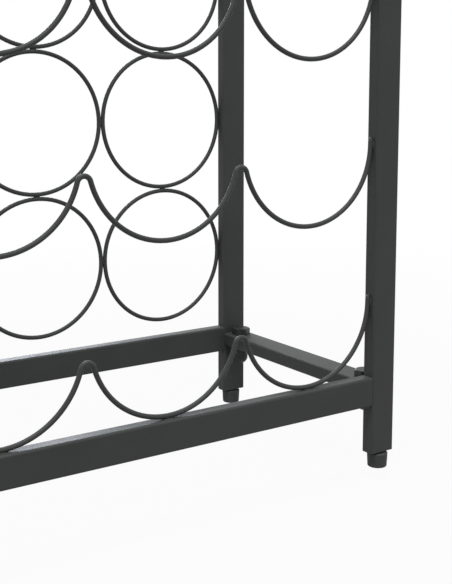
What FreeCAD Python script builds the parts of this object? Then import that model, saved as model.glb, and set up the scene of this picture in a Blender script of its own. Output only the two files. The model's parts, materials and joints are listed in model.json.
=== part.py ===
"""A floor-standing steel wine rack: four tube legs, wave wires in front, welded rings behind.

Millimetres. +X runs along the front, +Y goes to the back and +Z is up. The origin is on the floor,
under the middle of the rack.
"""

import FreeCAD, Part
import math
import os

import Sketcher

OUT_FOLDER = "parts"
SAME = 1e-3  # Two lengths this close are the same, and a corner this near a line is on it.

# Alias: (value, what it is)
SIZES = {
    "overall_width": (340.0, "over the outer faces of the legs"),
    "overall_depth": (180.0, "over the front and back faces of the legs"),
    "columns": (3, "bottles side by side"),
    "rows": (9, "bottles one above the other"),
    "tube_wide": (19.0, "long side of the rectangular tube"),
    "tube_thick": (9.5, "short side of the rectangular tube"),
    "tube_wall": (1.0, "wall of the tube"),
    "tube_corner": (1.5, "outer corner radius of the tube"),
    "wire_size": (3.0, "diameter of the wave and ring wire"),
    "pad_height": (9.5, "foot pad, bottom to top"),
    "pad_gap": (1.2, "open gap between the foot pad and the leg"),
    "pad_top": (13.6, "diameter of the foot pad at its top"),
    "pad_base": (12.6, "diameter of the foot pad at the floor"),
    "pad_edge": (0.7, "rounding of the foot pad's edges"),
    "rail_rise": (43.0, "floor to the underside of the bottom rails"),
    "ring_rise": (10.0, "bottom rail to the lowest ring"),
    "weld_gap": (0.1, "gap left between a ring and its neighbour"),
    "wave_height": (38.3, "trough to peak of the wave wire's centre line"),
    "peak_bend": (4.0, "bend radius of the wave wire at a peak"),
    "wave_tail": (3.7, "straight end of the wave wire along the leg"),
    "leg_above": (1.0, "leg standing above the top rails"),
    "cap_plate": (2.0, "thickness of the cap's plate"),
    "cap_plug": (12.0, "depth of the cap's plug in the leg"),
    "cap_wall": (1.5, "wall of the cap's plug"),
    "cap_edge": (0.8, "rounding of the cap's top edge"),
    "plug_room": (0.05, "room between a plug and the inside of the tube"),
    "tongue_reach": (20.0, "how far a tongue reaches into its side rail"),
    "tongue_room": (0.2, "room between a tongue and the inside of the tube"),
    "bolt_inset": (9.0, "leg face to the axis of the bolt"),
    "bolt_size": (6.0, "thread diameter of the bolt"),
    "bolt_room": (0.25, "room between the bolt and its holes, on the radius"),
    "bolt_reach": (16.0, "length of the bolt under its head"),
    "head_key": (12.0, "width across flats of the bolt head"),
    "head_height": (5.0, "height of the bolt head"),
    "nut_key": (11.0, "width across flats of the dome nut"),
    "nut_height": (13.5, "dome nut, seat to tip"),
    "nut_hex": (6.0, "height of the dome nut's hexagon"),
    "nut_dome": (10.4, "diameter of the dome nut's dome"),
    "nut_depth": (9.0, "depth of the dome nut's thread"),
    "thread_room": (0.05, "room between two threads, on the radius"),
    "hex_chamfer": (0.6, "height of the chamfer on the hexagon's corners"),
    "stem_size": (5.0, "thread diameter of the foot's stem"),
    "stem_reach": (28.0, "length of the foot's stem"),
    "stem_grip": (5.0, "length of the stem inside the pad"),
    "insert_depth": (15.0, "length of the threaded insert in the leg"),
}

# Lengths that follow from the sheet, as expressions.
PITCH = "(Sizes.overall_width - 2 * Sizes.tube_wide) / Sizes.columns"
INNER_WIDTH = "(Sizes.overall_width - 2 * Sizes.tube_wide)"
INNER_DEPTH = "(Sizes.overall_depth - 2 * Sizes.tube_thick)"
LEG_X = "(Sizes.overall_width - Sizes.tube_wide) / 2"
LEG_Y = "(Sizes.overall_depth - Sizes.tube_thick) / 2"
LEG_BASE = "(Sizes.pad_height + Sizes.pad_gap)"
RAIL_TOP = "(Sizes.rail_rise + Sizes.tube_wide)"
RINGS_HIGH = f"(Sizes.rows * {PITCH})"
LOW_RAIL_Z = "(Sizes.rail_rise + Sizes.tube_wide / 2)"
HIGH_RAIL_Z = f"({RAIL_TOP} + Sizes.ring_rise + {RINGS_HIGH} + Sizes.tube_wide / 2)"
LEG_TOP = f"({RAIL_TOP} + Sizes.ring_rise + {RINGS_HIGH} + Sizes.tube_wide + Sizes.leg_above)"
TUBE_BORE_WIDE = "(Sizes.tube_wide - 2 * Sizes.tube_wall)"
TUBE_BORE_THICK = "(Sizes.tube_thick - 2 * Sizes.tube_wall)"
TUBE_BORE_CORNER = "(Sizes.tube_corner - Sizes.tube_wall)"
HOLE_RADIUS = "(Sizes.bolt_size / 2 + Sizes.bolt_room)"
WAVE_END_BEND = f"({PITCH} / 2 - Sizes.wire_size / 2)"
BENDS_SUM = f"((({PITCH} / 2) ^ 2 + Sizes.wave_height ^ 2) / (2 * Sizes.wave_height))"
LOW_WAVE_TOP = f"({RAIL_TOP} + Sizes.wire_size / 2 + {WAVE_END_BEND} + Sizes.wave_tail)"

# Half turns that lay a tube, made upright, along X on its edge or along Y on its flat.
ALONG_X = FreeCAD.Rotation(FreeCAD.Vector(1, 0, 1), 180)
ALONG_Y = FreeCAD.Rotation(FreeCAD.Vector(0, 1, 1), 180)

doc = FreeCAD.newDocument("wine_rack")


def make_sheet():
    """Write every driving size to the sheet, with its alias and its meaning."""
    sheet = doc.addObject("Spreadsheet::Sheet", "Sizes")
    for line, (alias, (value, meaning)) in enumerate(SIZES.items(), start=1):
        sheet.set(f"A{line}", alias)
        sheet.set(f"B{line}", str(value))
        sheet.set(f"C{line}", meaning)
        sheet.setAlias(f"B{line}", alias)
    doc.recompute()
    return sheet


sizes = make_sheet()


def make_body(label):
    """A body whose label is the name of the sub-part."""
    body = doc.addObject("PartDesign::Body", label)
    body.Label = label
    body.AllowCompound = True
    return body


def origin_part(body, role):
    """One of the planes or axes at the body's own origin."""
    return next(item for item in body.Origin.OriginFeatures if item.Role == role)


def add_sketch(body, plane, name):
    """An empty sketch on one of the body's origin planes."""
    sketch = body.newObject("Sketcher::SketchObject", name)
    sketch.AttachmentSupport = [(origin_part(body, plane), "")]
    sketch.MapMode = "FlatFace"
    return sketch


def bind(sketch, constraint, expression):
    """Add a dimension to the sketch and tie it to an expression."""
    name = f"size{sketch.ConstraintCount}"
    place = sketch.addConstraint(constraint)
    sketch.renameConstraint(place, name)
    sketch.setExpression(f"Constraints.{name}", expression)


def value_of(expression):
    """The number that an expression has at the sheet's present sizes."""
    return float(sizes.evalExpression(expression))


def put(body, x="0", y="0", z="0", turn=None):
    """Place a body, with each coordinate tied to an expression."""
    if turn is not None:
        body.Placement = FreeCAD.Placement(FreeCAD.Vector(), turn)
    body.setExpression("Placement.Base.x", x)
    body.setExpression("Placement.Base.y", y)
    body.setExpression("Placement.Base.z", z)


def put_at_leg(body, side_x, side_y, z="0"):
    """Place a body on the axis of a leg: side_x and side_y are -1 or 1."""
    put(body, f"{side_x} * {LEG_X}", f"{side_y} * {LEG_Y}", z)


def draw_rectangle(sketch, wide, thick):
    """A rectangle centred on the sketch's origin."""
    half_wide = value_of(wide) / 2
    half_thick = value_of(thick) / 2
    corners = [(-half_wide, -half_thick), (half_wide, -half_thick)]
    corners += [(half_wide, half_thick), (-half_wide, half_thick)]
    first = sketch.GeometryCount
    for start, end in zip(corners, corners[1:] + corners[:1]):
        sketch.addGeometry(Part.LineSegment(FreeCAD.Vector(*start), FreeCAD.Vector(*end)))
    for side in range(4):
        following = first + (side + 1) % 4
        sketch.addConstraint(Sketcher.Constraint("Coincident", first + side, 2, following, 1))
    for side in (0, 2):
        sketch.addConstraint(Sketcher.Constraint("Horizontal", first + side))
        sketch.addConstraint(Sketcher.Constraint("Vertical", first + side + 1))
    sketch.addConstraint(Sketcher.Constraint("Symmetric", first, 1, first + 2, 1, -1, 1))
    bind(sketch, Sketcher.Constraint("DistanceX", first, 1, first, 2, 2 * half_wide), wide)
    bind(sketch, Sketcher.Constraint("DistanceY", first + 1, 1, first + 1, 2, 2 * half_thick), thick)


def draw_circle(sketch, radius, x=None, y=None, below=False):
    """A circle on the sketch's origin, or right of it by x, or above or below it by y."""
    across = value_of(x) if x else 0.0
    upward = value_of(y) if y else 0.0
    height = -upward if below else upward
    size = value_of(radius)
    circle = sketch.addGeometry(
        Part.Circle(FreeCAD.Vector(across, height), FreeCAD.Vector(0, 0, 1), size)
    )
    if x:
        bind(sketch, Sketcher.Constraint("DistanceX", -1, 1, circle, 3, across), x)
    else:
        sketch.addConstraint(Sketcher.Constraint("PointOnObject", circle, 3, -2))
    if y:
        ends = (circle, 3, -1, 1) if below else (-1, 1, circle, 3)
        bind(sketch, Sketcher.Constraint("DistanceY", *ends, upward), y)
    else:
        sketch.addConstraint(Sketcher.Constraint("PointOnObject", circle, 3, -1))
    bind(sketch, Sketcher.Constraint("Radius", circle, size), radius)


def draw_hexagon(sketch, across_flats):
    """A regular hexagon round the sketch's origin, with two sides square to the sketch's X."""
    corner = value_of(across_flats) / math.sqrt(3)
    guide = sketch.addGeometry(
        Part.Circle(FreeCAD.Vector(), FreeCAD.Vector(0, 0, 1), corner), True
    )
    sketch.addConstraint(Sketcher.Constraint("Coincident", guide, 3, -1, 1))
    bind(sketch, Sketcher.Constraint("Radius", guide, corner), f"{across_flats} / sqrt(3)")
    angles = [math.radians(30 + 60 * step) for step in range(6)]
    corners = [FreeCAD.Vector(corner * math.cos(a), corner * math.sin(a)) for a in angles]
    first = sketch.GeometryCount
    for start, end in zip(corners, corners[1:] + corners[:1]):
        sketch.addGeometry(Part.LineSegment(start, end))
    for side in range(6):
        following = first + (side + 1) % 6
        sketch.addConstraint(Sketcher.Constraint("Coincident", first + side, 2, following, 1))
        sketch.addConstraint(Sketcher.Constraint("PointOnObject", first + side, 1, guide))
    for side in range(1, 6):
        sketch.addConstraint(Sketcher.Constraint("Equal", first, first + side))
    sketch.addConstraint(Sketcher.Constraint("Vertical", first + 5))


def draw_outline(sketch, points):
    """A closed outline in the half plane X >= 0. Each point is a pair of expressions."""
    places = [FreeCAD.Vector(value_of(x), value_of(y)) for x, y in points]
    count = len(points)
    first = sketch.GeometryCount
    for step in range(count):
        sketch.addGeometry(Part.LineSegment(places[step], places[(step + 1) % count]))
    for step in range(count):
        following = first + (step + 1) % count
        sketch.addConstraint(Sketcher.Constraint("Coincident", first + step, 2, following, 1))
    for step, (x, y) in enumerate(points):
        line = first + step
        if x == "0":
            sketch.addConstraint(Sketcher.Constraint("PointOnObject", line, 1, -2))
        else:
            bind(sketch, Sketcher.Constraint("DistanceX", -1, 1, line, 1, places[step].x), x)
        if y == "0":
            sketch.addConstraint(Sketcher.Constraint("PointOnObject", line, 1, -1))
        elif places[step].y > 0:
            bind(sketch, Sketcher.Constraint("DistanceY", -1, 1, line, 1, places[step].y), y)
        else:
            drop = f"-({y})"
            bind(sketch, Sketcher.Constraint("DistanceY", line, 1, -1, 1, -places[step].y), drop)


def add_pad(body, sketch, length, side="One side", reverse=False):
    """Thicken a sketch by a length."""
    pad = body.newObject("PartDesign::Pad", "Pad")
    pad.Profile = sketch
    pad.setExpression("Length", length)
    pad.SideType = side
    pad.Reversed = reverse
    return pad


def check_cut(cut):
    """Recompute, and stop if a cutting feature took nothing away."""
    doc.recompute()
    if cut.Shape.Volume >= cut.BaseFeature.Shape.Volume:
        raise RuntimeError(f"{cut.Label} cuts nothing")


def add_pocket(body, sketch, depth=None, reverse=False):
    """Cut a sketch to a depth, or right through both ways."""
    pocket = body.newObject("PartDesign::Pocket", "Pocket")
    pocket.Profile = sketch
    if depth is None:
        pocket.SideType = "Symmetric"
        pocket.Type = "ThroughAll"
    else:
        pocket.setExpression("Length", depth)
        pocket.Reversed = reverse
    check_cut(pocket)
    return pocket


def add_turned(body, kind, sketch):
    """Revolve a sketch about its own vertical axis: kind is Revolution or Groove."""
    turned = body.newObject(f"PartDesign::{kind}", kind)
    turned.Profile = sketch
    turned.ReferenceAxis = (sketch, ["V_Axis"])
    turned.Angle = 360
    if kind == "Groove":
        check_cut(turned)
    return turned


def round_edges(body, base, radius, chosen):
    """Fillet the edges of a feature for which chosen(edge) is true."""
    doc.recompute()
    names = [f"Edge{n}" for n, edge in enumerate(base.Shape.Edges, start=1) if chosen(edge)]
    fillet = body.newObject("PartDesign::Fillet", "Fillet")
    fillet.Base = (base, names)
    fillet.setExpression("Radius", radius)
    return fillet


def is_upright(edge):
    """True for a straight edge along the body's Z axis."""
    return edge.Curve.TypeId == "Part::GeomLine" and abs(edge.tangentAt(edge.FirstParameter).z) > 0.99


def is_circle(edge):
    """True for a round edge."""
    return edge.Curve.TypeId == "Part::GeomCircle"


def is_inside_tube(edge):
    """True for an upright edge at a corner of the tube's bore."""
    start = edge.Vertexes[0].Point
    from_side_x = value_of(TUBE_BORE_WIDE) / 2 - abs(start.x)
    from_side_y = value_of(TUBE_BORE_THICK) / 2 - abs(start.y)
    return is_upright(edge) and max(abs(from_side_x), abs(from_side_y)) < SAME


def repeat(body, features, axis, length, count):
    """Copy features along one of the body's axes, over a length."""
    pattern = body.newObject("PartDesign::LinearPattern", "Pattern")
    pattern.Originals = features
    pattern.Direction = (origin_part(body, axis), [""])
    pattern.setExpression("Length", length)
    pattern.setExpression("Occurrences", count)
    body.Tip = pattern


def add_tube(body, length, side="One side"):
    """Rectangular tube with round corners, upright, wide along X."""
    outside = add_sketch(body, "XY_Plane", "Outside")
    draw_rectangle(outside, "Sizes.tube_wide", "Sizes.tube_thick")
    bar = add_pad(body, outside, length, side)
    round_edges(body, bar, "Sizes.tube_corner", is_upright)
    bore = add_sketch(body, "XY_Plane", "Bore")
    draw_rectangle(bore, TUBE_BORE_WIDE, TUBE_BORE_THICK)
    doc.recompute()
    hollow = add_pocket(body, bore)
    round_edges(body, hollow, TUBE_BORE_CORNER, is_inside_tube)


def add_plug(body, depth, reverse):
    """The block that fills the tube's bore, with its sliding room, from the body's XY plane."""
    outline = add_sketch(body, "XY_Plane", "Plug")
    wide = f"({TUBE_BORE_WIDE} - 2 * Sizes.plug_room)"
    thick = f"({TUBE_BORE_THICK} - 2 * Sizes.plug_room)"
    draw_rectangle(outline, wide, thick)
    block = add_pad(body, outline, depth, reverse=reverse)
    round_edges(body, block, TUBE_BORE_CORNER, is_upright)


def make_leg(name, side_x, side_y):
    """An upright tube from just above its foot to the top."""
    body = make_body(f"leg_{name}")
    add_tube(body, f"{LEG_TOP} - {LEG_BASE}")
    put_at_leg(body, side_x, side_y, LEG_BASE)


def make_cross_rail(name, side_y, height):
    """A tube on edge between two legs, flush with their outer faces."""
    body = make_body(name)
    add_tube(body, INNER_WIDTH, "Symmetric")
    put(body, "0", f"{side_y} * {LEG_Y}", height, ALONG_X)


def make_side_rail(name, side_x, height):
    """A tube laid flat between a front and a rear leg, drilled for its two bolts."""
    body = make_body(name)
    add_tube(body, INNER_DEPTH, "Symmetric")
    holes = add_sketch(body, "XZ_Plane", "Holes")
    for below in (False, True):
        draw_circle(holes, HOLE_RADIUS, y=f"({INNER_DEPTH} / 2 - Sizes.bolt_inset)", below=below)
    add_pocket(body, holes)
    put(body, f"{side_x} * {LEG_X}", "0", height, ALONG_Y)


def make_tongues(name, side_x, side_y):
    """The two flat tongues welded to a leg, one for each of its side rails."""
    body = make_body(f"rail_tongues_{name}")
    section = add_sketch(body, "XZ_Plane", "Section")
    wide = f"({TUBE_BORE_WIDE} - 2 * Sizes.tongue_room)"
    thick = f"({TUBE_BORE_THICK} - 2 * Sizes.tongue_room)"
    draw_rectangle(section, wide, thick)
    bar = add_pad(body, section, "Sizes.tongue_reach", reverse=side_y < 0)
    hole = add_sketch(body, "XY_Plane", "Hole")
    draw_circle(hole, HOLE_RADIUS, y="Sizes.bolt_inset", below=side_y > 0)
    doc.recompute()
    pocket = add_pocket(body, hole)
    repeat(body, [bar, pocket], "Z_Axis", f"{HIGH_RAIL_Z} - {LOW_RAIL_Z}", "2")
    put(body, f"{side_x} * {LEG_X}", f"{side_y} * {INNER_DEPTH} / 2", LOW_RAIL_Z)


def make_rings(row):
    """One row of wire rings, which touch each other and the rear legs."""
    body = make_body(f"rear_rings_{row}")
    section = add_sketch(body, "XY_Plane", "Section")
    to_wire = f"({PITCH} / 2 - Sizes.weld_gap / 2 - Sizes.wire_size / 2)"
    draw_circle(section, "Sizes.wire_size / 2", x=to_wire)
    ring = add_turned(body, "Revolution", section)
    doc.recompute()
    repeat(body, [ring], "X_Axis", f"(Sizes.columns - 1) * {PITCH}", "Sizes.columns")
    put(
        body,
        f"-(Sizes.columns - 1) / 2 * {PITCH}",
        "Sizes.overall_depth / 2 - Sizes.wire_size / 2",
        f"{RAIL_TOP} + Sizes.ring_rise + ({row} - 0.5) * {PITCH}",
    )


def draw_wave(sketch):
    """The centre line of a wave wire, from its top left end, which is at Z = 0.

    A straight tail runs down the leg and bends under the first bottle. Between two bottles the
    wire rises to a peak: the trough's bend and the peak's bend meet where both have one tangent,
    so their radii add up to (half pitch ^ 2 + height ^ 2) / (2 * height).
    """
    columns = int(value_of("Sizes.columns"))
    pitch = value_of(PITCH)
    start = value_of("Sizes.wire_size / 2")
    tail = value_of("Sizes.wave_tail")
    end_bend = value_of(WAVE_END_BEND)
    peak = value_of("Sizes.peak_bend")
    trough = value_of(BENDS_SUM) - peak
    floor = -tail - end_bend
    lean = math.acos((trough + peak - value_of("Sizes.wave_height")) / (trough + peak))
    turn = math.pi / 2
    up = FreeCAD.Vector(0, 0, 1)

    def arc(x, z, radius, low, high):
        circle = Part.Circle(FreeCAD.Vector(x, z), up, radius)
        return sketch.addGeometry(Part.ArcOfCircle(circle, low, high))

    last = columns * pitch - start
    tails = [
        sketch.addGeometry(Part.LineSegment(FreeCAD.Vector(x, 0), FreeCAD.Vector(x, -tail)))
        for x in (start, last)
    ]
    left = arc(pitch / 2, -tail, end_bend, 2 * turn, 3 * turn)
    right = arc((columns - 0.5) * pitch, -tail, end_bend, 3 * turn, 4 * turn)
    troughs = []
    for column in range(columns):
        low = 3 * turn - (lean if column > 0 else 0.0)
        high = 3 * turn + (lean if column < columns - 1 else 0.0)
        troughs.append(arc((column + 0.5) * pitch, floor + trough, trough, low, high))
    peak_z = floor + value_of("Sizes.wave_height") - peak
    peaks = [
        arc(column * pitch, peak_z, peak, turn - lean, turn + lean) for column in range(1, columns)
    ]

    reaches = ("Sizes.wire_size / 2", f"{INNER_WIDTH} - Sizes.wire_size / 2")
    for line, place, reach in zip(tails, (start, last), reaches):
        sketch.addConstraint(Sketcher.Constraint("Vertical", line))
        sketch.addConstraint(Sketcher.Constraint("PointOnObject", line, 1, -1))
        bind(sketch, Sketcher.Constraint("DistanceX", -1, 1, line, 1, place), reach)
    bind(sketch, Sketcher.Constraint("DistanceY", tails[0], 2, tails[0], 1, tail), "Sizes.wave_tail")
    sketch.addConstraint(Sketcher.Constraint("Tangent", tails[0], 2, left, 1))
    sketch.addConstraint(Sketcher.Constraint("Tangent", right, 2, tails[1], 2))
    bind(sketch, Sketcher.Constraint("Radius", left, end_bend), WAVE_END_BEND)
    bind(sketch, Sketcher.Constraint("Radius", right, end_bend), WAVE_END_BEND)
    for column, item in enumerate(troughs):
        across = f"({column} + 0.5) * {PITCH}"
        place = (column + 0.5) * pitch
        bind(sketch, Sketcher.Constraint("DistanceX", -1, 1, item, 3, place), across)
        bind(sketch, Sketcher.Constraint("Radius", item, trough), f"{BENDS_SUM} - Sizes.peak_bend")
    for column, item in enumerate(peaks, start=1):
        across = f"{column} * {PITCH}"
        bind(sketch, Sketcher.Constraint("DistanceX", -1, 1, item, 3, column * pitch), across)
        bind(sketch, Sketcher.Constraint("Radius", item, peak), "Sizes.peak_bend")
        sketch.addConstraint(Sketcher.Constraint("Tangent", troughs[column - 1], 2, item, 2))
        sketch.addConstraint(Sketcher.Constraint("Tangent", item, 1, troughs[column], 1))
    for end, trough_arc, point in ((left, troughs[0], 2), (right, troughs[-1], 1)):
        sketch.addConstraint(Sketcher.Constraint("Coincident", end, point, trough_arc, 3 - point))
        sketch.addConstraint(Sketcher.Constraint("Vertical", trough_arc, 3 - point, trough_arc, 3))


def make_wave(row):
    """One wave wire: its troughs carry the bottles of a row, its ends lie along the legs."""
    body = make_body(f"front_wave_{row}")
    line = add_sketch(body, "XZ_Plane", "CentreLine")
    draw_wave(line)
    section = add_sketch(body, "XY_Plane", "Section")
    draw_circle(section, "Sizes.wire_size / 2", x="Sizes.wire_size / 2")
    doc.recompute()
    pipe = body.newObject("PartDesign::AdditivePipe", "Wire")
    pipe.Profile = section
    pipe.Spine = (line, [])
    put(body, f"-{INNER_WIDTH} / 2", f"-{LEG_Y}", f"{LOW_WAVE_TOP} + ({row} - 1) * {PITCH}")


def chamfer_hexagon(body, across_flats, edge, inward):
    """Turn the hexagon's corners off at 30 degrees to its end, which lies at the height edge.

    The cutter is a triangle that starts inside the corners and goes past them by its overrun.
    """
    corner = f"{across_flats} / sqrt(3)"
    overrun = "Sizes.hex_chamfer"
    inner = f"({corner} - Sizes.hex_chamfer * sqrt(3))"
    outer = f"({corner} + {overrun} * sqrt(3))"
    cutter = add_sketch(body, "XZ_Plane", "Chamfer")
    draw_outline(
        cutter,
        [
            (inner, edge),
            (outer, f"{edge} {inward} (Sizes.hex_chamfer + {overrun})"),
            (outer, edge),
        ],
    )
    doc.recompute()
    return add_turned(body, "Groove", cutter)


def make_bolts():
    """The hexagon bolts that hold the side rails, head up, as separate solids."""
    body = make_body("hex_bolts")
    head = add_sketch(body, "XY_Plane", "Head")
    draw_hexagon(head, "Sizes.head_key")
    top = add_pad(body, head, "Sizes.head_height")
    shank = add_sketch(body, "XY_Plane", "Shank")
    draw_circle(shank, "Sizes.bolt_size / 2")
    pin = add_pad(body, shank, "Sizes.bolt_reach", reverse=True)
    doc.recompute()
    groove = chamfer_hexagon(body, "Sizes.head_key", "Sizes.head_height", "-")
    spread_hardware(body, [top, pin, groove])
    put_hardware(body, "+")


def make_nuts():
    """The dome nuts under the side rails, as separate solids."""
    body = make_body("dome_nuts")
    hexagon = add_sketch(body, "XY_Plane", "Hexagon")
    draw_hexagon(hexagon, "Sizes.nut_key")
    block = add_pad(body, hexagon, "Sizes.nut_hex", reverse=True)
    doc.recompute()
    groove = chamfer_hexagon(body, "Sizes.nut_key", "-Sizes.nut_hex", "+")
    cylinder = add_sketch(body, "XY_Plane", "Neck")
    draw_circle(cylinder, "Sizes.nut_dome / 2")
    neck = add_pad(body, cylinder, "(Sizes.nut_height - Sizes.nut_dome / 2)", reverse=True)
    doc.recompute()
    dome = add_sketch(body, "XZ_Plane", "Dome")
    draw_dome(dome)
    cap = add_turned(body, "Revolution", dome)
    thread = add_sketch(body, "XY_Plane", "Thread")
    draw_circle(thread, "Sizes.bolt_size / 2 + Sizes.thread_room")
    doc.recompute()
    bore = add_pocket(body, thread, "Sizes.nut_depth")
    spread_hardware(body, [block, groove, neck, cap, bore])
    put_hardware(body, "-")


def draw_dome(sketch):
    """A quarter disc under the nut's neck: its flat side up, its straight side on the axis."""
    radius = value_of("Sizes.nut_dome / 2")
    level = value_of("Sizes.nut_height") - radius
    centre = FreeCAD.Vector(0, -level)
    tip = FreeCAD.Vector(0, -level - radius)
    rim = FreeCAD.Vector(radius, -level)
    quarter = Part.Circle(centre, FreeCAD.Vector(0, 0, 1), radius)
    curve = sketch.addGeometry(Part.ArcOfCircle(quarter, 1.5 * math.pi, 2 * math.pi))
    flat = sketch.addGeometry(Part.LineSegment(rim, centre))
    straight = sketch.addGeometry(Part.LineSegment(centre, tip))
    sketch.addConstraint(Sketcher.Constraint("Coincident", curve, 2, flat, 1))
    sketch.addConstraint(Sketcher.Constraint("Coincident", flat, 2, straight, 1))
    sketch.addConstraint(Sketcher.Constraint("Coincident", straight, 2, curve, 1))
    sketch.addConstraint(Sketcher.Constraint("Coincident", curve, 3, flat, 2))
    sketch.addConstraint(Sketcher.Constraint("Horizontal", flat))
    sketch.addConstraint(Sketcher.Constraint("PointOnObject", flat, 2, -2))
    sketch.addConstraint(Sketcher.Constraint("PointOnObject", curve, 1, -2))
    bind(sketch, Sketcher.Constraint("Radius", curve, radius), "Sizes.nut_dome / 2")
    height = "Sizes.nut_height - Sizes.nut_dome / 2"
    bind(sketch, Sketcher.Constraint("DistanceY", flat, 2, -1, 1, level), height)


def spread_hardware(body, features):
    """Copy one fastener to both ends of each side rail, left and right, low and high."""
    doc.recompute()
    steps = (
        ("X_Axis", f"2 * {LEG_X}"),
        ("Y_Axis", f"({INNER_DEPTH} - 2 * Sizes.bolt_inset)"),
        ("Z_Axis", f"({HIGH_RAIL_Z} - {LOW_RAIL_Z})"),
    )
    everywhere = body.newObject("PartDesign::MultiTransform", "Everywhere")
    everywhere.Originals = features
    patterns = []
    for axis, length in steps:
        pattern = body.newObject("PartDesign::LinearPattern", f"Along{axis[0]}")
        pattern.Direction = (origin_part(body, axis), [""])
        pattern.setExpression("Length", length)
        pattern.Occurrences = 2
        patterns.append(pattern)
    everywhere.Transformations = patterns
    body.Tip = everywhere


def put_hardware(body, side):
    """Seat the first fastener of a group on the left front side rail's top or underside."""
    put(
        body,
        f"-{LEG_X}",
        f"-{INNER_DEPTH} / 2 + Sizes.bolt_inset",
        f"{LOW_RAIL_Z} {side} Sizes.tube_thick / 2",
    )


def make_pad(name, side_x, side_y):
    """The tapered plastic pad that stands on the floor."""
    body = make_body(f"foot_pad_{name}")
    profile = add_sketch(body, "XZ_Plane", "Profile")
    draw_outline(
        profile,
        [
            ("0", "0"),
            ("Sizes.pad_base / 2", "0"),
            ("Sizes.pad_top / 2", "Sizes.pad_height"),
            ("0", "Sizes.pad_height"),
        ],
    )
    block = add_turned(body, "Revolution", profile)
    round_edges(body, block, "Sizes.pad_edge", is_circle)
    socket = add_sketch(body, "XY_Plane", "Socket")
    draw_circle(socket, "Sizes.stem_size / 2 + Sizes.thread_room")
    socket.setExpression("AttachmentOffset.Base.z", "Sizes.pad_height")
    doc.recompute()
    add_pocket(body, socket, "Sizes.stem_grip")
    put_at_leg(body, side_x, side_y)


def make_stem(name, side_x, side_y):
    """The threaded steel stem between a foot pad and its leg."""
    body = make_body(f"foot_stem_{name}")
    section = add_sketch(body, "XY_Plane", "Section")
    draw_circle(section, "Sizes.stem_size / 2")
    add_pad(body, section, "Sizes.stem_reach")
    put_at_leg(body, side_x, side_y, "Sizes.pad_height - Sizes.stem_grip")


def make_insert(name, side_x, side_y):
    """The threaded plastic insert pressed into the bottom of a leg."""
    body = make_body(f"leg_insert_{name}")
    add_plug(body, "Sizes.insert_depth", False)
    thread = add_sketch(body, "XY_Plane", "Thread")
    draw_circle(thread, "Sizes.stem_size / 2 + Sizes.thread_room")
    doc.recompute()
    add_pocket(body, thread)
    put_at_leg(body, side_x, side_y, LEG_BASE)


def make_cap(name, side_x, side_y):
    """The plastic cap that closes the top of a leg, with its hollow plug."""
    body = make_body(f"leg_cap_{name}")
    plate = add_sketch(body, "XY_Plane", "Plate")
    draw_rectangle(plate, "Sizes.tube_wide", "Sizes.tube_thick")
    top = add_pad(body, plate, "Sizes.cap_plate")
    corners = round_edges(body, top, "Sizes.tube_corner", is_upright)
    level = value_of("Sizes.cap_plate")
    round_edges(
        body, corners, "Sizes.cap_edge", lambda edge: abs(edge.BoundBox.ZMin - level) < SAME
    )
    doc.recompute()
    add_plug(body, "Sizes.cap_plug", True)
    hollow = add_sketch(body, "XY_Plane", "Hollow")
    wide = f"({TUBE_BORE_WIDE} - 2 * (Sizes.plug_room + Sizes.cap_wall))"
    thick = f"({TUBE_BORE_THICK} - 2 * (Sizes.plug_room + Sizes.cap_wall))"
    draw_rectangle(hollow, wide, thick)
    doc.recompute()
    add_pocket(body, hollow, "Sizes.cap_plug")
    put_at_leg(body, side_x, side_y, LEG_TOP)


def make_model():
    """Build every sub-part of the rack."""
    corners = {
        "front_left": (-1, -1),
        "front_right": (1, -1),
        "rear_left": (-1, 1),
        "rear_right": (1, 1),
    }
    for name, (side_x, side_y) in corners.items():
        make_leg(name, side_x, side_y)
        make_tongues(name, side_x, side_y)
        make_pad(name, side_x, side_y)
        make_stem(name, side_x, side_y)
        make_insert(name, side_x, side_y)
        make_cap(name, side_x, side_y)
    for level, height in (("bottom", LOW_RAIL_Z), ("top", HIGH_RAIL_Z)):
        make_cross_rail(f"front_{level}_rail", -1, height)
        make_cross_rail(f"rear_{level}_rail", 1, height)
        make_side_rail(f"left_{level}_rail", -1, height)
        make_side_rail(f"right_{level}_rail", 1, height)
    for row in range(1, int(value_of("Sizes.rows")) + 1):
        make_wave(row)
        make_rings(row)
    make_bolts()
    make_nuts()
    doc.recompute()


def check_model():
    """Stop if any object failed to compute, or if a sub-part's shape is empty or invalid."""
    for item in doc.Objects:
        if {"Invalid", "Error"} & set(item.State):
            raise RuntimeError(f"{item.Label} did not compute: {item.State}")
    for body in sub_parts():
        if body.Shape.isNull() or not body.Shape.isValid():
            raise RuntimeError(f"{body.Label} has no valid shape")


def sub_parts():
    """The bodies of the document, one for each sub-part."""
    return [item for item in doc.Objects if item.TypeId == "PartDesign::Body"]


def export_parts():
    """Write one STEP file for each sub-part, under its label."""
    os.makedirs(OUT_FOLDER, exist_ok=True)
    for body in sub_parts():
        body.Shape.exportStep(os.path.join(OUT_FOLDER, f"{body.Label}.step"))
        print(body.Label, len(body.Shape.Solids), round(body.Shape.Volume, 1))


make_model()
check_model()
export_parts()
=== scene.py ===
import json
import math

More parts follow.
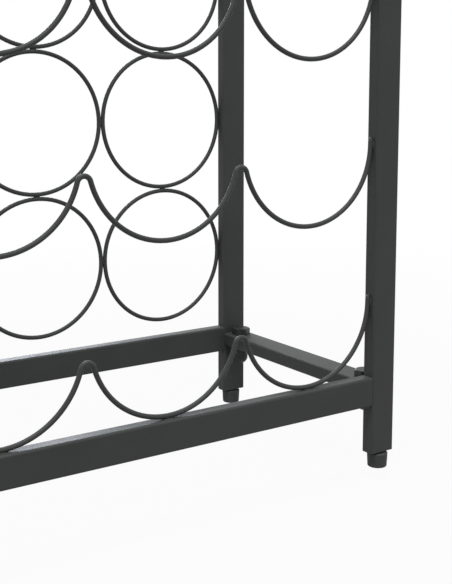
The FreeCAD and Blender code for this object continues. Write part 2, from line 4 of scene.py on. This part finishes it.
import bpy
import numpy as np
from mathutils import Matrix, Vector

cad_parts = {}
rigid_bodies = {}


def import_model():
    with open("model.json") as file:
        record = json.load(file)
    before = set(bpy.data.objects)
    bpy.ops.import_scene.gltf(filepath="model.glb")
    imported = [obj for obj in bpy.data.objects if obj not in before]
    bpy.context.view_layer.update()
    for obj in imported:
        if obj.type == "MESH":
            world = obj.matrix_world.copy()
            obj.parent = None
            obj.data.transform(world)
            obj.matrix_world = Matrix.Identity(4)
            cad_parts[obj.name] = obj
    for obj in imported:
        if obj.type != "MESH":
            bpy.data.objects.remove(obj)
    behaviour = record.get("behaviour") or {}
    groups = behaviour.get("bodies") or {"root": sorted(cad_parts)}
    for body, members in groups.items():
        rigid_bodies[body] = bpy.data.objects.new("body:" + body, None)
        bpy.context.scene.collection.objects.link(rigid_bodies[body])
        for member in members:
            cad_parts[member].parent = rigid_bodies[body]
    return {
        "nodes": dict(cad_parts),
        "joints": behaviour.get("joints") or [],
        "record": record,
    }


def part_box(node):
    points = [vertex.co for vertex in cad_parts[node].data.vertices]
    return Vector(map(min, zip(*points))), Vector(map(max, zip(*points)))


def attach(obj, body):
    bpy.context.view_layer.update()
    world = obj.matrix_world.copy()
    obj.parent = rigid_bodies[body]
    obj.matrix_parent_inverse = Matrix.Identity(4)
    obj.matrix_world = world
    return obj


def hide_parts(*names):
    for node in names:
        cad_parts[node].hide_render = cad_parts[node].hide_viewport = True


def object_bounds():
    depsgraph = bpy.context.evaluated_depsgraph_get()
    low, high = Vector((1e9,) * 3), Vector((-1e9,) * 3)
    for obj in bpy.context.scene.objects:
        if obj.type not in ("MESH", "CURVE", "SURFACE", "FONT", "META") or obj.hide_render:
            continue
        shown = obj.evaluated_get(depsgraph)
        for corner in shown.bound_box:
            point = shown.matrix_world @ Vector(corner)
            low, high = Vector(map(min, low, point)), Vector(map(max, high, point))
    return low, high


for leftover in list(bpy.data.objects):
    bpy.data.objects.remove(leftover)

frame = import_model()
cad_low, cad_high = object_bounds()

MM = 0.001

# ---------------------------------------------------------------- places, from the frame

wave_low, wave_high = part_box("front_wave_1")
ring_low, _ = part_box("rear_rings_1")
next_ring_low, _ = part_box("rear_rings_2")
rail_low, rail_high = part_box("front_bottom_rail")

ROWS = sum(name.startswith("front_wave_") for name in frame["nodes"])
WIRE = wave_high.y - wave_low.y
PITCH = next_ring_low.z - ring_low.z
INNER_WIDTH = rail_high.x - rail_low.x
COLUMNS = round(INNER_WIDTH / PITCH)
COLUMN_X = (np.arange(COLUMNS) - (COLUMNS - 1) / 2) * PITCH
FOOT_TRAVEL = max(joint["range_m"][1] for joint in frame["joints"])

# ---------------------------------------------------------------- sizes of the new pieces

# Wave wires: height from trough to peak, the peak's bend, the upright end and its blunt point.
WAVE_HEIGHT = 38.3 * MM
PEAK_BEND = 4.0 * MM
WAVE_TAIL = 3.7 * MM
TAIL_POINTS = 9
TIP_LENGTH = 2.6 * MM
TIP_SIZE = 0.25
WIRE_SIDES = 20
ARC_STEP = math.radians(2.5)

# Rolled thread of the feet. A crest is steeper than the groove, whose floor is flat.
THREAD_PITCH = 0.8 * MM
THREAD_DEPTH = 0.45 * MM
CREST_STEEPNESS = 1.3
GROOVE_FLOOR = 0.15
THREAD_SIDES = 40
THREAD_STEPS_PER_TURN = 10

# Spot welds, as half sizes: on the rings (across the joint, into the depth, along the joint), at
# the ends of the waves and under the lowest troughs.
RING_SPOT_ACROSS = 0.9 * MM
RING_SPOT_DEEP = 0.85 * MM
RING_SPOT_ALONG = 2.3 * MM
END_WELD = (0.8 * MM, 1.9 * MM, 3.4 * MM)
TROUGH_WELD = (4.2 * MM, 1.8 * MM, 0.6 * MM)
SPOT_SIDES = 12
SPOT_ROWS = 8
POLE_ANGLE = 0.12

# Weld beads of the cross rails: flat ones behind, fillets below, both with a rippled skin.
TUBE_CORNER = 1.5 * MM
BEAD_WIDE = 1.9 * MM
BEAD_HIGH = 0.7 * MM
FILLET_SIZE = 1.7 * MM
RIPPLE = 0.14
RIPPLE_LENGTH = 1.6 * MM
RIPPLE_LAG = 0.3
END_SHARE = 0.001
END_POWER = 8
BEAD_STEP = 0.2 * MM
BEAD_SIDES = 24

# ---------------------------------------------------------------- materials

# Soft noise stays near 0.5, so this part of it is stretched to a whole range.
NOISE_LOW = 0.3
NOISE_HIGH = 0.7


def srgb(code):
    """Linear colour of an sRGB hex code: each channel c becomes ((c + 0.055) / 1.055) ^ 2.4."""
    channels = [int(code[i : i + 2], 16) / 255 for i in (0, 2, 4)]
    return (*[c / 12.92 if c < 0.04045 else ((c + 0.055) / 1.055) ** 2.4 for c in channels], 1.0)


def add_node(tree, kind, sockets=None, **settings):
    """A new node with its settings. A socket takes a number, a colour or another node's output."""
    node = tree.nodes.new(kind)
    for name, value in settings.items():
        setattr(node, name, value)
    for socket, value in (sockets or {}).items():
        if isinstance(value, bpy.types.NodeSocket):
            tree.links.new(value, node.inputs[socket])
        else:
            node.inputs[socket].default_value = value
    return node


def empty_tree(owner):
    """The cleared node tree of a material or a world."""
    owner.use_nodes = True
    owner.node_tree.nodes.clear()
    return owner.node_tree


def make_finish(name, patterns, tones, gloss, relief, constants, specks=None):
    """One opaque finish, built from soft noise patterns on Object coordinates.

    patterns gives each pattern's feature size in metres, its detail and its roughness. The rest
    name the pattern that they follow: tones lie between two colours, gloss between two
    roughnesses, relief has a depth in metres, and specks shift the tone up and down by a share.
    """
    material = bpy.data.materials.new(name)
    tree = empty_tree(material)
    place = add_node(tree, "ShaderNodeTexCoord").outputs["Object"]
    noises = {}
    for pattern, (size, detail, rough) in patterns.items():
        sockets = {"Vector": place, "Scale": 1 / size, "Detail": detail, "Roughness": rough}
        noises[pattern] = add_node(tree, "ShaderNodeTexNoise", sockets).outputs["Fac"]

    colour_pattern, first_colour, second_colour = tones
    ranges = {"tone": (colour_pattern, 0.0, 1.0), "gloss": gloss}
    if specks:
        ranges["speck"] = (specks[0], -specks[1], specks[1])
    stretched = {}
    for use, (pattern, low, high) in ranges.items():
        sockets = {"Value": noises[pattern], "From Min": NOISE_LOW, "From Max": NOISE_HIGH}
        sockets |= {"To Min": low, "To Max": high}
        stretched[use] = add_node(tree, "ShaderNodeMapRange", sockets).outputs["Result"]
    tone = stretched["tone"]
    if specks:
        sockets = {0: tone, 1: stretched["speck"]}
        tone = add_node(tree, "ShaderNodeMath", sockets, operation="ADD").outputs[0]
    ramp = add_node(tree, "ShaderNodeValToRGB", {"Fac": tone})
    ramp.color_ramp.elements[0].color = srgb(first_colour)
    ramp.color_ramp.elements[1].color = srgb(second_colour)

    relief_pattern, depth = relief
    sockets = {"Height": noises[relief_pattern], "Distance": depth, "Strength": 1.0}
    skin = add_node(tree, "ShaderNodeBump", sockets)
    sockets = {
        "Base Color": ramp.outputs["Color"],
        "Roughness": stretched["gloss"],
        "Normal": skin.outputs["Normal"],
        **constants,
    }
    shader = add_node(tree, "ShaderNodeBsdfPrincipled", sockets)
    add_node(tree, "ShaderNodeOutputMaterial", {"Surface": shader.outputs["BSDF"]})
    return material


# Polyester powder coat, cured on steel: satin near-black with a fine orange-peel skin. The skin's
# waves are about 1 mm across and are drawn at 1.6 mm so that they show. The film's thickness varies
# slowly along a tube, which shifts colour and gloss a little.
powder_coat = make_finish(
    "powder_coated_steel",
    {"film": (34 * MM, 3.0, 0.5), "grit": (0.7 * MM, 1.0, 0.5), "peel": (1.6 * MM, 2.0, 0.45)},
    tones=("film", "373938", "3c3e3d"),
    specks=("grit", 0.25),
    gloss=("film", 0.47, 0.55),
    relief=("peel", 0.018 * MM),
    constants={"IOR": 1.5, "Specular IOR Level": 0.16},
)

# Black zinc plate on cold-formed steel: darker and a little shinier than the powder coat. Rolled
# and pressed faces keep faint flow marks under the plate, about 0.5 mm apart.
black_zinc = make_finish(
    "black_zinc_plated_steel",
    {"patches": (4 * MM, 3.0, 0.5), "marks": (0.5 * MM, 2.0, 0.5)},
    tones=("patches", "282a2a", "343636"),
    gloss=("patches", 0.38, 0.48),
    relief=("marks", 0.012 * MM),
    constants={"Metallic": 0.15, "Specular IOR Level": 0.2},
)

# Moulded black nylon, for the feet and the inserts: dull, with the 0.4 mm grain that a
# spark-eroded mould leaves, and slow changes of tone where the melt flowed.
nylon = make_finish(
    "moulded_black_nylon",
    {"grain": (0.4 * MM, 2.0, 0.5), "flow": (6 * MM, 2.0, 0.5)},
    tones=("flow", "3a3c3b", "404241"),
    gloss=("grain", 0.55, 0.7),
    relief=("grain", 0.02 * MM),
    constants={"IOR": 1.53, "Specular IOR Level": 0.14},
)

# Moulded black polythene, for the leg caps: softer and waxier than nylon, with a smoother skin.
polythene = make_finish(
    "moulded_black_polythene",
    {"skin": (1.2 * MM, 2.0, 0.5), "flow": (9 * MM, 2.0, 0.5)},
    tones=("flow", "292b2a", "2e302f"),
    gloss=("skin", 0.4, 0.5),
    relief=("skin", 0.02 * MM),
    constants={"IOR": 1.51},
)

# Zinc plate on a rolled thread, passivated dark: cloudy mid-grey metal with a dull sheen.
zinc = make_finish(
    "passivated_zinc_plated_steel",
    {"cloud": (1.5 * MM, 3.0, 0.5)},
    tones=("cloud", "5c6062", "75797b"),
    gloss=("cloud", 0.38, 0.5),
    relief=("cloud", 0.01 * MM),
    constants={"Metallic": 1.0},
)

FINISHES = {
    "powder_coat": powder_coat,
    "black_fastener": black_zinc,
    "foot_plastic": nylon,
    "insert_plastic": nylon,
    "cap_plastic": polythene,
    "zinc_stem": zinc,
}


def paint_frame():
    """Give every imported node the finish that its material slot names."""
    slots = {entry["node"]: entry["material_slot"] for entry in frame["record"]["subparts"]}
    for name, node in frame["nodes"].items():
        for place in node.material_slots:
            place.material = FINISHES[slots[name]]


# ---------------------------------------------------------------- surfaces


def closed_tube(points):
    """A closed skin over rows of points, each row a ring: (points, quads, end faces)."""
    rows, columns = points.shape[:2]
    row, column = np.meshgrid(np.arange(rows - 1), np.arange(columns), indexing="ij")
    after = (column + 1) % columns
    corners = [row * columns + column, row * columns + after]
    corners += [(row + 1) * columns + after, (row + 1) * columns + column]
    quads = np.stack(corners, axis=-1).reshape(-1, 4)
    ring = np.arange(columns)
    return points, quads, [ring[::-1], ring + (rows - 1) * columns]


def add_piece(name, tubes, slot, body="rack_frame"):
    """One mesh object from a list of closed tubes, in the slot's finish. It rides on a body."""
    points = []
    faces = []
    start = 0
    for tube_points, quads, ends in tubes:
        points.append(tube_points.reshape(-1, 3))
        faces += (quads + start).tolist()
        faces += [(ring + start).tolist() for ring in ends]
        start += len(points[-1])
    mesh = bpy.data.meshes.new(name)
    mesh.from_pydata(np.concatenate(points).tolist(), [], faces)
    mesh.validate()
    mesh.shade_smooth()
    mesh.materials.append(FINISHES[slot])
    piece = bpy.data.objects.new(name, mesh)
    bpy.context.scene.collection.objects.link(piece)
    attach(piece, body)
    return piece


def sweep(path, radius, side, sides):
    """A round section carried along a path that lies square to one direction.

    Point (i, j) is path[i] + radius[i] * (cos(a) * outward + sin(a) * side), with
    a = 2 pi j / sides and outward = side x tangent.
    """
    tangent = np.gradient(path, axis=0)
    tangent /= np.linalg.norm(tangent, axis=1, keepdims=True)
    outward = np.cross(side, tangent)
    angle = 2 * np.pi * np.arange(sides) / sides
    ring = np.cos(angle)[None, :, None] * outward[:, None, :]
    ring = ring + np.sin(angle)[None, :, None] * np.asarray(side)
    return closed_tube(path[:, None, :] + radius[:, None, None] * ring)


def arc(x, z, radius, start, end):
    """Points on an arc in the front plane, from one angle to another, both ends included."""
    count = max(2, int(abs(end - start) / ARC_STEP) + 1)
    angle = np.linspace(start, end, count)
    return np.stack([x + radius * np.cos(angle), z + radius * np.sin(angle)], axis=1)


def wave_path(trough_z):
    """Centre line of a wave wire in the front plane, left to right.

    A trough of bend R and a peak of bend r have one tangent where they meet, so
    R + r = (half pitch ^ 2 + height ^ 2) / (2 * height). The last bend ends upright on the leg.
    """
    half = PITCH / 2
    bends = (half**2 + WAVE_HEIGHT**2) / (2 * WAVE_HEIGHT)
    trough = bends - PEAK_BEND
    lean = math.acos((bends - WAVE_HEIGHT) / bends)
    end_bend = half - WIRE / 2
    low = 1.5 * np.pi
    edge = INNER_WIDTH / 2 - WIRE / 2
    end_z = trough_z + end_bend
    tail = np.linspace(end_z + WAVE_TAIL, end_z, TAIL_POINTS)[:-1]
    runs = [np.stack([np.full(len(tail), -edge), tail], axis=1)]
    runs.append(arc(COLUMN_X[0], end_z, end_bend, np.pi, low)[:-1])
    for column, x in enumerate(COLUMN_X):
        start = low - (lean if column > 0 else 0)
        end = low + (lean if column < COLUMNS - 1 else 0)
        runs.append(arc(x, trough_z + trough, trough, start, end)[:-1])
        if column < COLUMNS - 1:
            peak_z = trough_z + WAVE_HEIGHT - PEAK_BEND
            left = np.pi / 2 + lean
            runs.append(arc(x + half, peak_z, PEAK_BEND, left, np.pi - left)[:-1])
    runs.append(arc(COLUMN_X[-1], end_z, end_bend, low, 2 * np.pi))
    runs.append(np.stack([np.full(len(tail), edge), tail[::-1]], axis=1))
    return np.concatenate(runs)


def add_wave(row):
    """One wave wire, its two ends drawn down to a blunt point that lies against the leg.

    Along the last TIP_LENGTH the radius falls as an ellipse, and the line moves to the leg by
    what the radius loses, so that the wire keeps touching it.
    """
    low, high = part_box(f"front_wave_{row}")
    flat = wave_path(low.z + WIRE / 2)
    depth = (low.y + high.y) / 2
    path = np.stack([flat[:, 0], np.full(len(flat), depth), flat[:, 1]], axis=1)
    length = np.concatenate([[0], np.cumsum(np.linalg.norm(np.diff(path, axis=0), axis=1))])
    from_end = np.minimum(length, length[-1] - length)
    far = np.clip(1 - from_end / TIP_LENGTH, 0, 1)
    radius = WIRE / 2 * (TIP_SIZE + (1 - TIP_SIZE) * np.sqrt(1 - far**2))
    path[:, 0] += np.sign(path[:, 0]) * (WIRE / 2 - radius)
    wire = sweep(path, radius, (0.0, 1.0, 0.0), WIRE_SIDES)
    piece = add_piece(f"wave_wire_{row}", [wire], "powder_coat")
    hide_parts(f"front_wave_{row}")


def ellipsoid(centre, half_sizes):
    """A closed egg shape: centre + half sizes * (sin(b) cos(a), sin(b) sin(a), cos(b))."""
    a = 2 * np.pi * np.arange(SPOT_SIDES) / SPOT_SIDES
    b = np.linspace(np.pi - POLE_ANGLE, POLE_ANGLE, SPOT_ROWS)[:, None]
    level = np.repeat(np.cos(b), SPOT_SIDES, axis=1)
    unit = np.stack([np.sin(b) * np.cos(a), np.sin(b) * np.sin(a), level], axis=-1)
    return closed_tube(np.asarray(centre) + unit * np.asarray(half_sizes))


def add_ring_welds():
    """Resistance welds where a ring touches its neighbours and the legs."""
    upright = (RING_SPOT_ACROSS, RING_SPOT_DEEP, RING_SPOT_ALONG)
    spots = []
    for row in range(1, ROWS + 1):
        low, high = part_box(f"rear_rings_{row}")
        depth = (low.y + high.y) / 2
        level = (low.z + high.z) / 2
        for x in np.append(COLUMN_X - PITCH / 2, COLUMN_X[-1] + PITCH / 2):
            spots.append(ellipsoid((x, depth, level), upright))
        if row < ROWS:
            for x in COLUMN_X:
                spots.append(ellipsoid((x, depth, level + PITCH / 2), upright[::-1]))
    add_piece("ring_welds", spots, "powder_coat")


def add_wave_welds():
    """Welds of the wave wires: along each end on the leg, and under each low trough on the rail."""
    spots = []
    for row in range(1, ROWS + 1):
        low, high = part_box(f"front_wave_{row}")
        depth = (low.y + high.y) / 2
        level = high.z - TIP_LENGTH - RING_SPOT_ALONG
        for side in (-1, 1):
            spots.append(ellipsoid((side * INNER_WIDTH / 2, depth, level), END_WELD))
    for x in COLUMN_X:
        spots.append(ellipsoid((x, wave_low.y + WIRE / 2, rail_high.z), TROUGH_WELD))
    add_piece("wave_welds", spots, "powder_coat")


def bead(start, end, first, second):
    """A weld bead: a ripple-skinned roll that lies half in the steel along a joint.

    At share s of the length and angle a the point is
    line(s) + size(s, a) * (cos(a) * first + sin(a) * second). size is an end rounding,
    (1 - (2 s - 1) ^ END_POWER) ^ (1/2), times 1 - RIPPLE + RIPPLE * |sin| of the length in ripples.
    That wave lags by cos(a) ^ 2, so it bends back from the middle as a frozen pool's edge does.
    """
    start = np.asarray(start)
    line = np.asarray(end) - start
    length = np.linalg.norm(line)
    s = np.linspace(END_SHARE, 1 - END_SHARE, int(length / BEAD_STEP))
    a = 2 * np.pi * np.arange(BEAD_SIDES) / BEAD_SIDES
    ripples = s[:, None] * length / RIPPLE_LENGTH + RIPPLE_LAG * np.cos(a) ** 2
    wave = np.abs(np.sin(np.pi * ripples))
    rounding = np.sqrt(1 - (2 * s - 1) ** END_POWER)
    size = rounding[:, None] * (1 - RIPPLE + RIPPLE * wave)
    section = np.cos(a)[:, None] * np.asarray(first) + np.sin(a)[:, None] * np.asarray(second)
    centres = start + s[:, None, None] * line
    points, quads, ends = closed_tube(centres + size[:, :, None] * section[None, :, :])
    if np.dot(np.cross(first, second), line) < 0:
        quads = quads[:, ::-1]
        ends = [ring[::-1] for ring in ends]
    return points, quads, ends


def add_rail_welds():
    """Welds of the cross rails to the legs, made from behind and from below each frame.

    The one behind is a low flat bead over the closed joint, up and down. The one below fills the
    corner between leg and rail, front to back.
    """
    wide = (BEAD_WIDE, 0.0, 0.0)
    high_up = (0.0, BEAD_HIGH, 0.0)
    across = (FILLET_SIZE, 0.0, 0.0)
    down = (0.0, 0.0, FILLET_SIZE)
    beads = []
    for rail in ("front_bottom_rail", "front_top_rail", "rear_bottom_rail", "rear_top_rail"):
        low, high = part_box(rail)
        for x in (low.x, high.x):
            ends = [(x, high.y, low.z + TUBE_CORNER), (x, high.y, high.z - TUBE_CORNER)]
            beads.append(bead(*ends, wide, high_up))
            ends = [(x, low.y + TUBE_CORNER, low.z), (x, high.y - TUBE_CORNER, low.z)]
            beads.append(bead(*ends, across, down))
    add_piece("rail_welds", beads, "powder_coat")


def add_thread(corner):
    """A foot's stem with its rolled thread, from inside the pad to inside the leg.

    At height z and angle a the radius is the core's plus a ridge: the ridge is a triangle wave of
    z / pitch - a / 2 pi, so it climbs one pitch in each turn. Both ends run out over one pitch.
    """
    low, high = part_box(f"foot_stem_{corner}")
    steps = int((high.z - low.z) / THREAD_PITCH * THREAD_STEPS_PER_TURN)
    z = np.linspace(low.z, high.z, steps)
    a = 2 * np.pi * np.arange(THREAD_SIDES) / THREAD_SIDES
    phase = (z[:, None] / THREAD_PITCH - a / (2 * np.pi)) % 1
    ridge = np.clip(CREST_STEEPNESS * (1 - np.abs(2 * phase - 1)) - GROOVE_FLOOR, 0, 1)
    run_out = np.clip(np.minimum(z - low.z, high.z - z) / THREAD_PITCH, 0, 1)
    radius = (high.x - low.x) / 2 - THREAD_DEPTH * (1 - ridge * run_out[:, None])
    centre = (low + high) / 2
    level = np.repeat(z[:, None], THREAD_SIDES, axis=1)
    skin = [centre.x + radius * np.cos(a), centre.y + radius * np.sin(a), level]
    stem = closed_tube(np.stack(skin, axis=-1))
    piece = add_piece(f"threaded_stem_{corner}", [stem], "zinc_stem", f"foot_{corner}")
    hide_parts(f"foot_stem_{corner}")


# ---------------------------------------------------------------- camera, light and floor

CAMERA_PLACE = Vector((-0.2965, -0.5789, 0.2517))
CAMERA_YAW = math.radians(34.256)
CAMERA_PITCH = math.radians(7.649)
CAMERA_LENS = 64.548
CAMERA_SENSOR = 36.0
CAMERA_SHIFT = -0.12
NEAREST = 0.01
FARTHEST = 50.0

LAMP_TARGET = Vector((0.0, 0.0, 0.2))
TOP_LAMP = {"place": (-0.35, -0.6, 2.5), "size": 0.8, "power": 55.0, "tint": "ffffff"}
REAR_LAMP = {"place": (0.6, 2.3, 0.95), "size": 1.0, "power": 40.0, "tint": "eef4ff"}
WHITE = "ffffff"
WORLD_LIGHT = 0.75

# The floor is mostly white to the eye. Near the rack some of its matt grey shows, with the shadow.
FLOOR_REACH = 6.0
FLOOR_MATT = "8c8c8a"
NEAR_DISTANCE = 0.3
NEAR_WHITE = 0.95
FAR_DISTANCE = 1.3
FAR_WHITE = 1.0


def add_camera():
    """A long-lens camera, low in front of the rack and turned right to its lower corner."""
    data = bpy.data.cameras.new("camera")
    data.sensor_width = CAMERA_SENSOR
    data.lens = CAMERA_LENS
    data.shift_y = CAMERA_SHIFT
    data.clip_start = NEAREST
    data.clip_end = FARTHEST
    camera = bpy.data.objects.new("camera", data)
    camera.location = CAMERA_PLACE
    camera.rotation_euler = (math.pi / 2 - CAMERA_PITCH, 0.0, -CAMERA_YAW)
    bpy.context.scene.collection.objects.link(camera)
    bpy.context.scene.camera = camera


def add_softbox(name, place, size, power, tint):
    """A square lamp that faces the rack and that the camera doesn't see."""
    data = bpy.data.lights.new(name, "AREA")
    data.shape = "SQUARE"
    data.size = size
    data.energy = power
    data.color = srgb(tint)[:3]
    lamp = bpy.data.objects.new(name, data)
    lamp.location = place
    lamp.rotation_euler = (LAMP_TARGET - Vector(place)).to_track_quat("-Z", "Y").to_euler()
    lamp.visible_camera = False
    bpy.context.scene.collection.objects.link(lamp)


def seen_directly(tree):
    """1 for a camera, glossy or transmission ray, and 0 for light that only falls on a surface."""
    rays = add_node(tree, "ShaderNodeLightPath").outputs
    seen = rays["Is Camera Ray"]
    for other in ("Is Glossy Ray", "Is Transmission Ray"):
        sockets = {0: seen, 1: rays[other]}
        seen = add_node(tree, "ShaderNodeMath", sockets, operation="MAXIMUM").outputs[0]
    return seen


def add_world():
    """Plain grey-white surroundings that light the rack, and white where they are seen directly."""
    world = bpy.data.worlds.new("studio")
    tree = empty_tree(world)
    seen = seen_directly(tree)
    sockets = {"Color": srgb(WHITE), "Strength": WORLD_LIGHT}
    lit = add_node(tree, "ShaderNodeBackground", sockets)
    white = add_node(tree, "ShaderNodeBackground", {"Color": srgb(WHITE), "Strength": 1.0})
    sockets = {0: seen, 1: lit.outputs[0], 2: white.outputs[0]}
    mix = add_node(tree, "ShaderNodeMixShader", sockets)
    add_node(tree, "ShaderNodeOutputWorld", {"Surface": mix.outputs[0]})
    bpy.context.scene.world = world


def add_floor():
    """A plain pale floor that keeps a faint shadow: mostly white to the eye, pale matt to light.

    It lies where the feet stand when they are screwed fully out.
    """
    mesh = bpy.data.meshes.new("floor")
    level = cad_low.z - FOOT_TRAVEL
    signs = [(-1, -1), (1, -1), (1, 1), (-1, 1)]
    corners = [(x * FLOOR_REACH, y * FLOOR_REACH, level) for x, y in signs]
    mesh.from_pydata(corners, [], [(0, 1, 2, 3)])
    material = bpy.data.materials.new("pale_studio_floor")
    tree = empty_tree(material)
    place = add_node(tree, "ShaderNodeTexCoord").outputs["Object"]
    matt = add_node(tree, "ShaderNodeBsdfDiffuse", {"Color": srgb(FLOOR_MATT)})
    white = add_node(tree, "ShaderNodeEmission", {"Color": srgb(WHITE), "Strength": 1.0})
    seen = seen_directly(tree)
    away = add_node(tree, "ShaderNodeVectorMath", {0: place}, operation="LENGTH").outputs["Value"]
    sockets = {"Value": away, "From Min": NEAR_DISTANCE, "From Max": FAR_DISTANCE}
    sockets |= {"To Min": NEAR_WHITE, "To Max": FAR_WHITE}
    share = add_node(tree, "ShaderNodeMapRange", sockets, interpolation_type="SMOOTHSTEP")
    sockets = {0: seen, 1: share.outputs["Result"]}
    seen_share = add_node(tree, "ShaderNodeMath", sockets, operation="MULTIPLY")
    sockets = {0: seen_share.outputs[0], 1: matt.outputs[0], 2: white.outputs[0]}
    mix = add_node(tree, "ShaderNodeMixShader", sockets)
    add_node(tree, "ShaderNodeOutputMaterial", {"Surface": mix.outputs[0]})
    mesh.materials.append(material)
    floor = bpy.data.objects.new("floor", mesh)
    bpy.context.scene.collection.objects.link(floor)


# ---------------------------------------------------------------- the scene

paint_frame()
for wire_row in range(1, ROWS + 1):
    add_wave(wire_row)
add_ring_welds()
add_wave_welds()
add_rail_welds()
for foot in ("front_left", "front_right", "rear_left", "rear_right"):
    add_thread(foot)

add_world()
add_floor()
add_softbox("top_softbox", **TOP_LAMP)
add_softbox("rear_softbox", **REAR_LAMP)
add_camera()
bpy.context.scene.view_settings.view_transform = "Standard"
